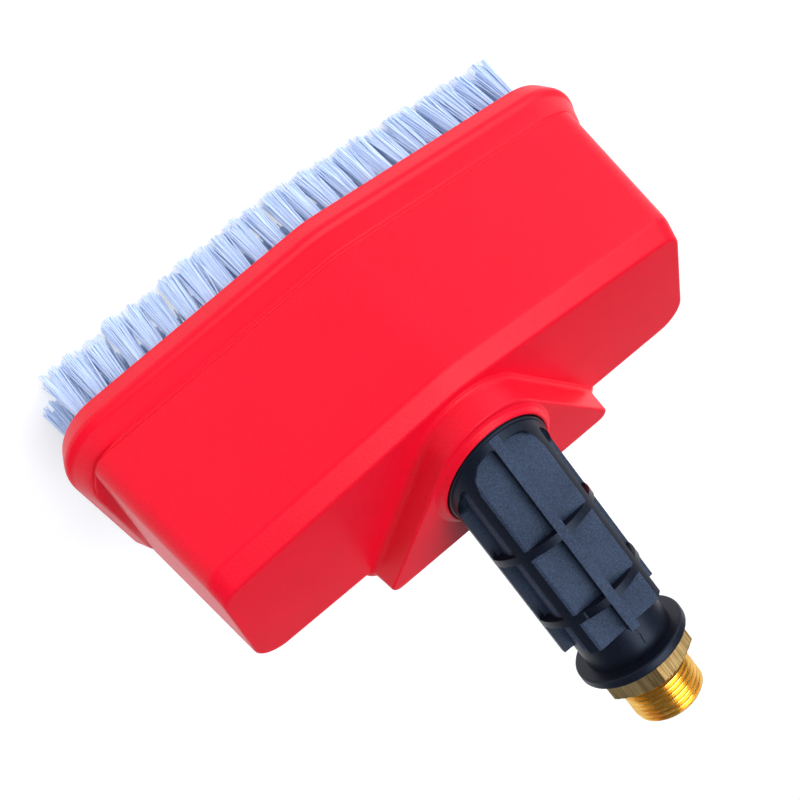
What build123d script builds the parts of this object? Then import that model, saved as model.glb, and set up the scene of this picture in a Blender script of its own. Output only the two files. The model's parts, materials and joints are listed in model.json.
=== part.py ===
from build123d import *
from math import cos, radians, sin, sqrt, tan
import os

# Fixed wash-brush head: hollow moulded hood, tufted block, ribbed grip adapter and brass hose inlet.
# Millimetres, +Z up. The part stands on its bristle tips at Z = 0, the front of the hood faces -Y, and the
# origin lies on the mirror plane X = 0, at the tip of a row's middle tuft.

os.makedirs("parts", exist_ok=True)

# ---------------------------------------------------------------- overall heights, from the bristle tips
bristle_reach = 26.0        # from the mouth of the hood to the longest tips
hood_height = 64.2          # from the mouth to the roof
mouth_z = bristle_reach
roof_z = mouth_z + hood_height

# ---------------------------------------------------------------- hood outline, seen from above
roof_depth = 55.0           # rear edge of the roof to the nose of its front edge
roof_splay = 0.12           # how much the front edge falls back for each mm sideways
bevel = 4.6                 # 45 degree bevel along the front edge of the roof
bevel_splay = 0.106
mouth_depth = 68.8          # rear edge of the roof to the nose of the mouth
mouth_splay = 0.091
end_half_length = 85.2      # middle of the hood to the end of the roof, at its rear edge
end_flare = 0.175           # how much the ends spread for each mm towards the rear
end_draft = 0.19            # how much the ends spread for each mm downwards
rear_draft = 0.08
nose_radius = 45.0          # rounding of the shallow V
wall_front_radius = 7.0
wall_rear_radius = 8.0
wall = 2.8

# ---------------------------------------------------------------- rim round the mouth
rim_start = 48.5            # below the roof, where the shoulder of the rim begins
rim_shoulder = 51.5         # below the roof, where the shoulder ends
rim_crest = 58.0            # below the roof, the widest line of the rim
rim_step = 0.7              # how far the shoulder stands out from the front wall
rim_bulge = 1.0             # how far the crest stands out from the front wall
rim_end_shoulder = 95.2     # half length at the rear edge of the roof
rim_end_crest = 97.8
lip_inset = 0.5             # how far the ends of the lip lie inside the crest
rim_flare = 0.09
rim_rear_shoulder = 5.6     # behind the rear edge of the roof
rim_rear_crest = 7.6
rim_front_radius = 20.0
rim_rear_radius = 14.0
rim_wall = 3.0

# ---------------------------------------------------------------- ledge, seal and block inside the mouth
ledge_width = 3.4           # from the inside of the wall
ledge_thickness = 2.5
seal_thickness = 1.8
seal_width = 3.2
block_thickness = 7.0
block_clearance = 0.4
strip_depth = 3.0
strip_width = 4.6
strip_clearance = 0.05

# ---------------------------------------------------------------- tufts
row_count = 6
first_row_inset = 4.6       # from the front edge of the block to the first row
last_row_inset = 4.2        # from the rear edge of the block to the last row
tuft_pitch = 6.5
tufts_per_row = 26
strand_radius = 1.05        # round the three corners of a strand
strand_spread = 1.15        # of the strands in one tuft, at the root
strand_lean = 2.4           # degrees that a strand leans away from its tuft
tip_drop = 1.2              # how much shorter each kind of strand is than the one before
strand_kinds = [            # three strands make a tuft: shares of the spread, then of the lean, in X and Y
    (0, 0.8, 0, 1),
    (-1, -0.8, -1, -0.5),
    (1, -0.8, 1, -0.5),
]
origin_row = 3              # counted from 0 at the front; its middle tuft stands on the origin

# ---------------------------------------------------------------- block screws and their posts
post_radius = 4.4
post_spacing = 60.0
front_screw_gap = 1.5       # the front screws lie between the second and third rows
rear_screw_gap = 1.5        # rows from the rear one to the rear screws, which lie between two as well
block_screw_radius = 1.5
block_screw_length = 18.0
screw_gap = 0.1
screw_head_radius = 2.7
screw_head_height = 2.4
outlet_width = 3.0
outlet_length = 14.0
outlet_spacing = 32.5
outlet_count = 5

# ---------------------------------------------------------------- boss and socket on the roof
boss_height = 8.4
boss_overhang = 4.0         # behind the rear edge of the roof
boss_half_width = 45.6      # at its rear, at the top
boss_vertex = 63.9          # where the straight sides would meet, in front of the rear edge of the roof
boss_nose_radius = 17.3
boss_tip_radius = 3.0
boss_draft = 1.2            # growth from the top of the boss to the roof
collar_half_width = 17.4
collar_half_length = 21.8
collar_centre = 23.5        # in front of the rear edge of the roof
collar_height = 11.1        # top of the collar above the roof
socket_clearance = 0.25
socket_floor_height = 4.0   # above the roof
socket_floor = 2.8
lip_height = 1.8            # above the boss
lip_width = 2.6

# ---------------------------------------------------------------- adapter base and spigot
gasket_thickness = 1.2
adapter_screw_radius = 1.5
adapter_screw_x = 9.5
adapter_screw_y = 13.5
adapter_screw_depth = 5.0   # into the base plate
spigot_radius = 9.0
spigot_length = 17.0        # below the base plate
spigot_gap = 0.15
sleeve_wall = 2.6
sleeve_length = 9.0         # below the socket floor
ring_side = 2.0             # side of the seal ring's square section
ring_drop = 8.0             # below the base plate
water_bore = 5.0            # radius of the water way along the grip
spigot_bore = 4.6           # radius of the water way down the spigot

# ---------------------------------------------------------------- nozzle at the end of the spigot
nozzle_flange_radius = 8.2
nozzle_flange = 3.0
nozzle_shank_radius = 6.4
nozzle_shank = 7.0
nozzle_gap = 0.05
nozzle_bore = 2.2
nozzle_slot = 1.2

# ---------------------------------------------------------------- ribbed grip, along its own axis
grip_tilt = 36.87           # degrees from vertical, towards the rear
grip_radius = 16.8
grip_end = 50.6             # ribs and pads end here, from the top of the collar along the axis
pad_radius = 13.5           # floor of the pockets, and the flat of the pads
rib_width = 2.8
hoop_width = 2.3
first_hoop = 18.4           # middle of the hoop
second_hoop = 40.0
pad_start = 1.5             # above the collar
neck_radius = 13.4
neck_end = 59.9
flange_radius = 17.25
flange_thickness = 2.74

# ---------------------------------------------------------------- brass fitting
hex_across_flats = 27.0
hex_height = 6.4
hex_chamfer = 1.0
hex_turn = 37.3             # degrees, of the hexagon about the grip axis
thread_radius = 11.0        # outside of the male hose thread
thread_length = 10.4
thread_relief_radius = 9.8
thread_relief = 1.2
thread_chamfer = 0.8
inlet_bore = 7.0
inlet_bore_depth = 14.0
fitting_bore = 4.0
tail_radius = 9.0
tail_length = 15.0
tail_gap = 0.1
fitting_seal_thickness = 1.6


def front_depth(depth):
    """Distance from the rear edge of the roof to the nose of the front wall, at a depth below the roof."""
    front_draft = (mouth_depth - roof_depth - bevel) / (hood_height - bevel)
    return roof_depth + bevel + (depth - bevel) * front_draft


def front_splay(depth):
    """Fall of the front wall for each mm sideways, at a depth below the roof."""
    share = (depth - bevel) / (hood_height - bevel)
    return bevel_splay + (mouth_splay - bevel_splay) * share


# ---------------------------------------------------------------- places worked out from the sizes above
block_top_z = roof_z - rim_shoulder - seal_thickness
block_z = block_top_z - block_thickness
first_row = first_row_inset + rim_wall + block_clearance - rim_step - front_depth(rim_shoulder)
last_row = rim_rear_shoulder - rim_wall - block_clearance - last_row_inset
row_step = (last_row - first_row) / (row_count - 1)
lean = tan(radians(strand_lean))
middle_tip = strand_kinds[0][1] * strand_spread + strand_kinds[0][3] * lean * block_z
rear_y = -(first_row + row_step * origin_row + middle_tip)
collar_y = rear_y - collar_centre
boss_z = roof_z + boss_height
collar_z = roof_z + collar_height
socket_floor_z = roof_z + socket_floor_height
plate_z = socket_floor_z + gasket_thickness
grip_axis = Vector(0, sin(radians(grip_tilt)), cos(radians(grip_tilt)))
grip_origin = Vector(0, collar_y, collar_z)
grip_plane = Plane(origin=grip_origin, x_dir=(1, 0, 0), z_dir=grip_axis)
beyond_grip = 4 * grip_radius   # further than anything on the grip that a cut has to clear


def five_sided(depth, nose, splay, half_length, flare, rear, radii, inset=0.0):
    """Sketch of a five-sided outline with a shallow V front, at a depth below the roof."""
    nose_r, front_r, rear_r = radii
    corner_x = (half_length - flare * nose) / (1 - flare * splay)
    corner_y = rear_y - nose + splay * corner_x
    back_x = half_length + flare * rear
    points = [
        (0, rear_y - nose),
        (corner_x, corner_y),
        (back_x, rear_y + rear),
        (-back_x, rear_y + rear),
        (-corner_x, corner_y),
    ]
    corner_radii = [nose_r, front_r, rear_r, rear_r, front_r]
    with BuildSketch(Plane.XY.offset(roof_z - depth)) as sketch:
        with BuildLine():
            FilletPolyline(*points, radius=corner_radii, close=True)
        make_face()
        if inset:
            offset(amount=-inset)
    return sketch


def wall_section(depth, inset=0.0):
    """Outline of the hood wall at a depth below the roof, from the bevel down."""
    half_length = end_half_length + end_draft * depth
    radii = (nose_radius, wall_front_radius, wall_rear_radius)
    return five_sided(depth, front_depth(depth), front_splay(depth), half_length, end_flare,
                      rear_draft * depth, radii, inset)


def roof_section(inset=0.0):
    """Outline of the roof itself, inside its front bevel."""
    radii = (nose_radius, wall_front_radius, wall_rear_radius)
    return five_sided(inset, roof_depth, roof_splay, end_half_length, end_flare, 0, radii, inset)


def rim_section(depth, proud, half_length, rear, inset=0.0):
    """Outline of the rim at a depth below the roof."""
    radii = (nose_radius, rim_front_radius, rim_rear_radius)
    nose = front_depth(depth) + proud
    return five_sided(depth, nose, front_splay(depth), half_length, rim_flare, rear, radii, inset)


def shoulder_section(depth, inset=0.0):
    return rim_section(depth, rim_step, rim_end_shoulder, rim_rear_shoulder, inset)


def crest_section(depth, inset=0.0):
    return rim_section(depth, rim_bulge, rim_end_crest, rim_rear_crest, inset)


def mouth_section(depth, inset=0.0):
    return rim_section(depth, 0, rim_end_crest - lip_inset, rim_rear_crest, inset)


def boss_outline(grow, z):
    """Winged outline of the boss, grown outwards, at a height."""
    tip = (boss_half_width, rear_y + boss_overhang)
    vertex = (0, rear_y - boss_vertex)
    with BuildSketch(Plane.XY.offset(z)) as sketch:
        with BuildLine():
            FilletPolyline(
                vertex, tip, (-tip[0], tip[1]),
                radius=[boss_nose_radius, boss_tip_radius, boss_tip_radius], close=True,
            )
        make_face()
        if grow:
            offset(amount=grow)
    return sketch


def oval(grow, z):
    """Sketch of the collar's oval, grown outwards, at a height."""
    with BuildSketch(Plane(origin=(0, collar_y, z))) as sketch:
        Ellipse(collar_half_width + grow, collar_half_length + grow)
    return sketch


def joined(*sections):
    """Faces of several outline sketches, in the order in which a loft joins them."""
    return [section.sketch.face() for section in sections]


# ---------------------------------------------------------------- rows of tufts and the screws between them
def row_y(row, x):
    """Middle line of a row: the front row follows the V of the hood and the last one is straight."""
    straightened = row / (row_count - 1)
    return rear_y + first_row + row_step * row + mouth_splay * (1 - straightened) * abs(x)


def tuft_xs(row):
    """Places of the tufts along a row, staggered from row to row."""
    count = tufts_per_row + row % 2 - (1 if row == 0 else 0)
    return [(i - (count - 1) / 2) * tuft_pitch for i in range(count)]


def strip_outline(row, grow, z):
    """V-shaped outline of the backing strip of one row."""
    half = tuft_xs(row)[-1] + strip_width / 2 + grow
    side = strip_width / 2 + grow
    with BuildSketch(Plane.XY.offset(z)) as sketch:
        with BuildLine():
            Polyline(
                (0, row_y(row, 0) - side), (half, row_y(row, half) - side), (half, row_y(row, half) + side),
                (0, row_y(row, 0) + side), (-half, row_y(row, half) + side), (-half, row_y(row, half) - side),
                close=True,
            )
        make_face()
    return sketch


block_screw_places = [
    (x, row_y(gap, x))
    for gap in (front_screw_gap, row_count - rear_screw_gap)
    for x in (-post_spacing, 0, post_spacing)
]
outlet_xs = [(i - (outlet_count - 1) / 2) * outlet_spacing for i in range(outlet_count)]
outlet_places = [(x, row_y((row_count - 1) / 2, x)) for x in outlet_xs]
adapter_screw_places = [
    (x, collar_y + y)
    for x in (-adapter_screw_x, adapter_screw_x)
    for y in (-adapter_screw_y, adapter_screw_y)
]

# ---------------------------------------------------------------- hood
sleeve_radius = spigot_radius + spigot_gap + sleeve_wall
sleeve_end_z = socket_floor_z - socket_floor - sleeve_length
cavity_top_z = roof_z - wall
ledge_top = rim_shoulder - ledge_thickness

with BuildPart() as hollow:
    loft(joined(roof_section(wall), wall_section(bevel + wall / 2, wall), wall_section(ledge_top, wall)),
         ruled=True)
    loft(joined(wall_section(ledge_top, wall + ledge_width), wall_section(rim_shoulder, wall + ledge_width)),
         ruled=True)
    loft(joined(shoulder_section(rim_shoulder, rim_wall), crest_section(rim_crest, rim_wall),
                mouth_section(hood_height, rim_wall)), ruled=True)
    extrude(boss_outline(-wall, cavity_top_z - wall).sketch, amount=boss_height + wall)
    # the cup of the socket, the sleeve round the spigot and the posts stay solid
    extrude(oval(socket_clearance + wall, socket_floor_z - socket_floor).sketch, amount=hood_height,
            mode=Mode.SUBTRACT)
    with BuildSketch(Plane.XY.offset(sleeve_end_z)):
        with Locations((0, collar_y)):
            Circle(sleeve_radius)
    extrude(amount=hood_height, mode=Mode.SUBTRACT)
    with BuildSketch(Plane.XY.offset(block_top_z)):
        with Locations(*block_screw_places):
            Circle(post_radius)
    extrude(amount=hood_height, mode=Mode.SUBTRACT)

with BuildPart() as hood_shell:
    loft(joined(roof_section(), wall_section(bevel), wall_section(rim_start), shoulder_section(rim_shoulder),
                crest_section(rim_crest), mouth_section(hood_height)), ruled=True)
    loft(joined(boss_outline(boss_draft, roof_z - wall), boss_outline(0, boss_z)), ruled=True)
    with BuildSketch(Plane.XY.offset(roof_z)):
        with Locations((0, rear_y)):
            Rectangle(2 * (boss_half_width - boss_tip_radius), 2 * (boss_overhang + boss_draft))
    extrude(amount=-rim_shoulder)
    extrude(oval(socket_clearance + lip_width, boss_z).sketch, amount=lip_height)
    add(hollow.part, mode=Mode.SUBTRACT)
    extrude(oval(socket_clearance, socket_floor_z).sketch, amount=hood_height, mode=Mode.SUBTRACT)
    with BuildSketch(Plane.XY.offset(sleeve_end_z)):
        with Locations((0, collar_y)):
            Circle(spigot_radius + spigot_gap)
    extrude(amount=hood_height, mode=Mode.SUBTRACT)
    with BuildSketch(Plane.XY.offset(socket_floor_z - socket_floor)):
        with Locations(*adapter_screw_places):
            Circle(adapter_screw_radius + screw_gap)
    extrude(amount=hood_height, mode=Mode.SUBTRACT)
    with BuildSketch(Plane.XY.offset(socket_floor_z - socket_floor)):
        with Locations(*adapter_screw_places):
            Circle(screw_head_radius + screw_gap)
    extrude(amount=-2 * wall, mode=Mode.SUBTRACT)
    with BuildSketch(Plane.XY.offset(block_top_z)):
        with Locations(*block_screw_places):
            Circle(block_screw_radius + screw_gap)
    extrude(amount=block_screw_length, mode=Mode.SUBTRACT)
hood_shell.part.label = "hood_shell"
export_step(hood_shell.part, "parts/hood_shell.step")

# ---------------------------------------------------------------- tufted block and its seal
with BuildPart() as brush_block:
    block_outline = shoulder_section(rim_shoulder, rim_wall + block_clearance).sketch
    extrude(block_outline.moved(Location((0, 0, -seal_thickness))), amount=-block_thickness)
    for row in range(row_count):
        extrude(strip_outline(row, strip_clearance, block_z).sketch, amount=strip_depth, mode=Mode.SUBTRACT)
    with BuildSketch(Plane.XY.offset(block_z)):
        with Locations(*outlet_places):
            SlotOverall(outlet_length, outlet_width)
        with Locations(*block_screw_places):
            Circle(block_screw_radius + screw_gap)
    extrude(amount=block_thickness, mode=Mode.SUBTRACT)
    with BuildSketch(Plane.XY.offset(block_z)):
        with Locations(*block_screw_places):
            Circle(screw_head_radius + screw_gap)
    extrude(amount=screw_head_height, mode=Mode.SUBTRACT)
brush_block.part.label = "brush_block"
export_step(brush_block.part, "parts/brush_block.step")

with BuildPart() as block_seal:
    extrude(block_outline, amount=-seal_thickness)
    with BuildSketch(Plane.XY.offset(block_top_z)):
        add(block_outline)
        offset(amount=-seal_width, mode=Mode.REPLACE)
    extrude(amount=seal_thickness, mode=Mode.SUBTRACT)
block_seal.part.label = "block_seal"
export_step(block_seal.part, "parts/block_seal.step")

with BuildPart() as block_screws:
    with BuildSketch(Plane.XY.offset(block_z)):
        with Locations(*block_screw_places):
            Circle(screw_head_radius)
    extrude(amount=screw_head_height)
    with BuildSketch(Plane.XY.offset(block_z + screw_head_height)):
        with Locations(*block_screw_places):
            Circle(block_screw_radius)
    extrude(amount=block_screw_length)
block_screws.part.label = "block_screws"
export_step(block_screws.part, "parts/block_screws.step")

# ---------------------------------------------------------------- rows of tufts
for row in range(row_count):
    with BuildPart() as tuft_row:
        extrude(strip_outline(row, 0, block_z).sketch, amount=strip_depth)
        for kind, (root_x, root_y, lean_x, lean_y) in enumerate(strand_kinds):
            roots = [
                (x + root_x * strand_spread, row_y(row, x) + root_y * strand_spread) for x in tuft_xs(row)
            ]
            direction = Vector(lean_x * lean, lean_y * lean, -1)
            with BuildSketch(Plane.XY.offset(block_z)):
                with Locations(*roots):
                    RegularPolygon(strand_radius, 3)
            extrude(amount=(block_z - kind * tip_drop) * direction.length, dir=direction)
    name = f"tuft_row_{row + 1}"
    tuft_row.part.label = name
    export_step(tuft_row.part, f"parts/{name}.step")

# ---------------------------------------------------------------- grip adapter
flange_h = neck_end + flange_thickness
tail_seat_h = flange_h - tail_length - fitting_seal_thickness
spigot_end_z = plate_z - spigot_length
ring_z = plate_z - ring_drop
ring_inner_radius = spigot_radius + spigot_gap - ring_side


def pad_pockets(height):
    """Recesses between the ribs, as an outline across the grip axis at a height along it."""
    far = 2 * grip_radius
    side = rib_width / 2
    with BuildSketch(grip_plane.offset(height)) as sketch:
        for sx in (-1, 1):
            for sy in (-1, 1):
                with BuildLine():
                    Polyline((sx * side, sy * pad_radius), (sx * far, sy * pad_radius), (sx * far, sy * far),
                             (sx * side, sy * far), close=True)
                make_face()
                with BuildLine():
                    Polyline((sx * side * (1 + sqrt(2)), sy * side), (sx * far, sy * side),
                             (sx * far, sy * (far - side * sqrt(2))), close=True)
                make_face()
        Circle(pad_radius, mode=Mode.SUBTRACT)
    return sketch


with BuildPart() as pockets:
    hoops = [first_hoop, second_hoop]
    starts = [-grip_radius] + [h + hoop_width / 2 for h in hoops]
    ends = [h - hoop_width / 2 for h in hoops] + [neck_end]
    for start, end in zip(starts, ends):
        extrude(pad_pockets(start).sketch, amount=end - start)
    with BuildSketch(Plane.XY.offset(collar_z + pad_start)):
        Circle(beyond_grip)
    extrude(amount=-beyond_grip, mode=Mode.SUBTRACT)

with BuildPart() as grip_adapter:
    with BuildSketch(grip_plane.offset(-grip_radius)):
        Circle(grip_radius)
    extrude(amount=grip_radius + grip_end)
    add(pockets.part, mode=Mode.SUBTRACT)
    with BuildSketch(grip_plane):
        Circle(neck_radius)
    extrude(amount=neck_end)
    with BuildSketch(Plane.XY.offset(collar_z)):
        Circle(beyond_grip)
    extrude(amount=-beyond_grip, mode=Mode.SUBTRACT)
    with BuildSketch(grip_plane.offset(neck_end)):
        Circle(flange_radius)
    extrude(amount=flange_thickness)
    extrude(oval(0, plate_z).sketch, amount=collar_z - plate_z)
    # the spigot has a groove for its seal ring
    groove_ends = [spigot_end_z, ring_z - ring_side / 2, ring_z + ring_side / 2, plate_z]
    groove_radii = [spigot_radius, ring_inner_radius, spigot_radius]
    for start, end, radius in zip(groove_ends, groove_ends[1:], groove_radii):
        with BuildSketch(Plane.XY.offset(start)):
            with Locations((0, collar_y)):
                Circle(radius)
        extrude(amount=end - start)
    # water way, seats of the brass fitting and the nozzle, and pilot holes
    with BuildSketch(grip_plane.offset(-water_bore / 2)):
        Circle(water_bore)
    extrude(amount=flange_h, mode=Mode.SUBTRACT)
    with BuildSketch(Plane.XY.offset(spigot_end_z)):
        with Locations((0, collar_y)):
            Circle(spigot_bore)
    extrude(amount=spigot_length + collar_z - plate_z, mode=Mode.SUBTRACT)
    with BuildSketch(grip_plane.offset(tail_seat_h)):
        Circle(tail_radius + tail_gap / 2)
    extrude(amount=flange_h, mode=Mode.SUBTRACT)
    with BuildSketch(Plane.XY.offset(spigot_end_z)):
        with Locations((0, collar_y)):
            Circle(nozzle_shank_radius + nozzle_gap)
    extrude(amount=nozzle_shank, mode=Mode.SUBTRACT)
    with BuildSketch(Plane.XY.offset(plate_z)):
        with Locations(*adapter_screw_places):
            Circle(adapter_screw_radius + screw_gap)
    extrude(amount=adapter_screw_depth, mode=Mode.SUBTRACT)
grip_adapter.part.label = "grip_adapter"
export_step(grip_adapter.part, "parts/grip_adapter.step")

with BuildPart() as adapter_gasket:
    extrude(oval(0, socket_floor_z).sketch, amount=gasket_thickness)
    with BuildSketch(Plane.XY.offset(socket_floor_z)):
        with Locations((0, collar_y)):
            Circle(spigot_radius + spigot_gap)
        with Locations(*adapter_screw_places):
            Circle(adapter_screw_radius + screw_gap)
    extrude(amount=gasket_thickness, mode=Mode.SUBTRACT)
adapter_gasket.part.label = "adapter_gasket"
export_step(adapter_gasket.part, "parts/adapter_gasket.step")

with BuildPart() as adapter_screws:
    with BuildSketch(Plane.XY.offset(socket_floor_z - socket_floor - screw_head_height)):
        with Locations(*adapter_screw_places):
            Circle(screw_head_radius)
    extrude(amount=screw_head_height)
    with BuildSketch(Plane.XY.offset(socket_floor_z - socket_floor)):
        with Locations(*adapter_screw_places):
            Circle(adapter_screw_radius)
    extrude(amount=socket_floor + gasket_thickness + adapter_screw_depth)
adapter_screws.part.label = "adapter_screws"
export_step(adapter_screws.part, "parts/adapter_screws.step")

with BuildPart() as spigot_seal:
    with BuildSketch(Plane.XY.offset(ring_z - ring_side / 2)):
        with Locations((0, collar_y)):
            Circle(spigot_radius + spigot_gap)
            Circle(ring_inner_radius, mode=Mode.SUBTRACT)
    extrude(amount=ring_side)
spigot_seal.part.label = "spigot_seal"
export_step(spigot_seal.part, "parts/spigot_seal.step")

with BuildPart() as spray_nozzle:
    with BuildSketch(Plane.XY.offset(spigot_end_z)):
        with Locations((0, collar_y)):
            Circle(nozzle_shank_radius)
    extrude(amount=nozzle_shank)
    with BuildSketch(Plane.XY.offset(spigot_end_z)):
        with Locations((0, collar_y)):
            RegularPolygon(nozzle_flange_radius, 6)
    extrude(amount=-nozzle_flange)
    with BuildSketch(Plane.XY.offset(spigot_end_z)):
        with Locations((0, collar_y)):
            Circle(spigot_bore)
    extrude(amount=nozzle_shank, mode=Mode.SUBTRACT)
    with BuildSketch(Plane.XY.offset(spigot_end_z - nozzle_flange)):
        with Locations((0, collar_y)):
            Circle(nozzle_bore)
            Rectangle(2 * nozzle_flange_radius, nozzle_slot)
    extrude(amount=nozzle_flange / 2, mode=Mode.SUBTRACT)
    with BuildSketch(Plane.XY.offset(spigot_end_z - nozzle_flange)):
        with Locations((0, collar_y)):
            Circle(nozzle_bore)
    extrude(amount=nozzle_flange, mode=Mode.SUBTRACT)
spray_nozzle.part.label = "spray_nozzle"
export_step(spray_nozzle.part, "parts/spray_nozzle.step")

# ---------------------------------------------------------------- brass fitting and its seal
thread_start_h = flange_h + hex_height + thread_relief
thread_end_h = thread_start_h + thread_length + thread_chamfer

with BuildPart() as inlet_fitting:
    with BuildSketch(grip_plane.offset(flange_h)):
        RegularPolygon(hex_across_flats / 2, 6, major_radius=False, rotation=hex_turn)
    extrude(amount=hex_height)
    chamfer(inlet_fitting.faces().sort_by(Axis(grip_origin, grip_axis))[-1].edges(), hex_chamfer)
    with BuildSketch(grip_plane.offset(flange_h + hex_height)):
        Circle(thread_relief_radius)
    extrude(amount=thread_relief)
    with BuildSketch(grip_plane.offset(thread_start_h)):
        Circle(thread_radius)
    extrude(amount=thread_length + thread_chamfer)
    chamfer(inlet_fitting.faces().sort_by(Axis(grip_origin, grip_axis))[-1].edges(), thread_chamfer)
    with BuildSketch(grip_plane.offset(flange_h)):
        Circle(tail_radius)
    extrude(amount=-tail_length)
    with BuildSketch(grip_plane.offset(flange_h - tail_length)):
        Circle(fitting_bore)
    extrude(amount=thread_end_h, mode=Mode.SUBTRACT)
    with BuildSketch(grip_plane.offset(thread_end_h)):
        Circle(inlet_bore)
    extrude(amount=-inlet_bore_depth, mode=Mode.SUBTRACT)
inlet_fitting.part.label = "inlet_fitting"
export_step(inlet_fitting.part, "parts/inlet_fitting.step")

with BuildPart() as fitting_seal:
    with BuildSketch(grip_plane.offset(tail_seat_h)):
        Circle(tail_radius)
        Circle(water_bore, mode=Mode.SUBTRACT)
    extrude(amount=fitting_seal_thickness)
fitting_seal.part.label = "fitting_seal"
export_step(fitting_seal.part, "parts/fitting_seal.step")
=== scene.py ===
"""Looks of the wash-brush head: moulded red hood, tufted block, ribbed black grip and brass hose inlet.

Lengths here are millimetres, turned into metres where a mesh is made. Places are worked out from the
frame: the inlet thread's axis gives the grip, and the grip's collar gives the roof of the hood.
"""
import json
import math
import random

import bmesh
import bpy
from mathutils import Matrix, Vector

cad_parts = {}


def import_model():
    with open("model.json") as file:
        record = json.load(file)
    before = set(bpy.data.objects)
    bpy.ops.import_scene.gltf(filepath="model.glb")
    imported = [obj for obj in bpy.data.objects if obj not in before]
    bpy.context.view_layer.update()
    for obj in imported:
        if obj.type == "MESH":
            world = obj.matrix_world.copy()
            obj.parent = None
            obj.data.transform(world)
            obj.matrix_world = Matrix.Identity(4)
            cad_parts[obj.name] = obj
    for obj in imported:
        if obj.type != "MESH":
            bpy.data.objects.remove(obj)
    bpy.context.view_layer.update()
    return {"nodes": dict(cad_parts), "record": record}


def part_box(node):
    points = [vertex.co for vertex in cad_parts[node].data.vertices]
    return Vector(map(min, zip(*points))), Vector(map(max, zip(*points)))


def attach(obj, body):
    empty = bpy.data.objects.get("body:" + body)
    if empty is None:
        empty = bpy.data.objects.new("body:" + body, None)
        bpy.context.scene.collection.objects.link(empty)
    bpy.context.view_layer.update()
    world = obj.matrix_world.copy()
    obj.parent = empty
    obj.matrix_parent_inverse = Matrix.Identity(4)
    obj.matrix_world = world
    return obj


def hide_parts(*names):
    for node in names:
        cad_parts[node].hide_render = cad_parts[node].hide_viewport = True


MM = 0.001
weld_distance = 0.002 * MM
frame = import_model()

# ------------------------------------------------------------------ places worked out from the frame
mounts = {mount["name"]: mount for mount in frame["record"]["mounts"]}
grip_axis = Vector(mounts["inlet_thread"]["axis"]).normalized()
thread_middle = Vector(mounts["inlet_thread"]["pos_m"]) / MM
thread_length = mounts["inlet_thread"]["dims"]["length_mm"]
thread_radius = mounts["inlet_thread"]["dims"]["r_mm"]
bore_radius = mounts["inlet_bore"]["dims"]["r_mm"]
bore_depth = mounts["inlet_bore"]["dims"]["length_mm"]

flange_bottom, flange_top = 59.9, 62.64      # along the grip axis, from the top of the collar
hex_height = 6.4
thread_relief = 1.2
thread_chamfer = 0.8
hex_top = flange_top + hex_height
thread_start = hex_top + thread_relief
thread_end = thread_start + thread_length + thread_chamfer
grip_origin = thread_middle - grip_axis * (thread_start + thread_length / 2)
grip_front = Vector((0, -grip_axis.z, grip_axis.y))
grip_side = Vector((1, 0, 0))

collar_height = 11.1                         # top of the collar above the roof
collar_centre = 23.5                         # in front of the rear edge of the roof
roof_z = grip_origin.z - collar_height
rear_y = grip_origin.y + collar_centre
collar_y = grip_origin.y


# ------------------------------------------------------------------ meshes
round_segments = 128                         # round a turned or oval piece
longest_trim = 0.45                          # of a side, so that two roundings on it stay apart


def piece(name, points, faces, materials, indices=None, sharp=38.0, clean=True, normals=True):
    """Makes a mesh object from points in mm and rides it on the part."""
    mesh = bpy.data.meshes.new(name)
    mesh.from_pydata([Vector(p) * MM for p in points], [], faces)
    for material in materials:
        mesh.materials.append(material)
    if indices is not None:
        mesh.polygons.foreach_set("material_index", indices)
    if clean:
        work = bmesh.new()
        work.from_mesh(mesh)
        bmesh.ops.remove_doubles(work, verts=work.verts, dist=weld_distance)
        bmesh.ops.recalc_face_normals(work, faces=work.faces)
        work.to_mesh(mesh)
        work.free()
    mesh.polygons.foreach_set("use_smooth", [True] * len(mesh.polygons))
    mesh.set_sharp_from_angle(angle=math.radians(sharp))
    thing = bpy.data.objects.new(name, mesh)
    bpy.context.scene.collection.objects.link(thing)
    if normals:
        thing.modifiers.new("normals", "WEIGHTED_NORMAL").keep_sharp = True
    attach(thing, "root")
    return thing


def grid_faces(rows, columns):
    """Quads between rows of points, where each row is a ring."""
    faces = []
    for r in range(rows - 1):
        for c in range(columns):
            d = (c + 1) % columns
            faces.append((r * columns + c, r * columns + d, (r + 1) * columns + d, (r + 1) * columns + c))
    return faces


def ring_faces(rows, columns):
    """Quads between rows of points, where each row is a ring and the last row joins the first."""
    last = (rows - 1) * columns
    joining = [(last + i, last + (i + 1) % columns, (i + 1) % columns, i) for i in range(columns)]
    return grid_faces(rows, columns) + joining


def capped_faces(rows, columns):
    """Quads between rings of points, with a cap on the first and on the last."""
    caps = [tuple(range(columns)), tuple(range((rows - 1) * columns, rows * columns))]
    return grid_faces(rows, columns) + caps


def rounded(profile, trims, steps=4):
    """Polyline with each inner corner replaced by a short curve that starts the trim's length away."""
    points = [profile[0]]
    for before, corner, after, trim in zip(profile, profile[1:], profile[2:], trims):
        if trim <= 0:
            points.append(corner)
            continue
        back, ahead = before - corner, after - corner
        start = corner + back.normalized() * min(trim, longest_trim * back.length)
        end = corner + ahead.normalized() * min(trim, longest_trim * ahead.length)
        for i in range(steps + 1):
            t = i / steps
            points.append(start * (1 - t) ** 2 + corner * 2 * t * (1 - t) + end * t * t)
    points.append(profile[-1])
    return points


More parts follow.
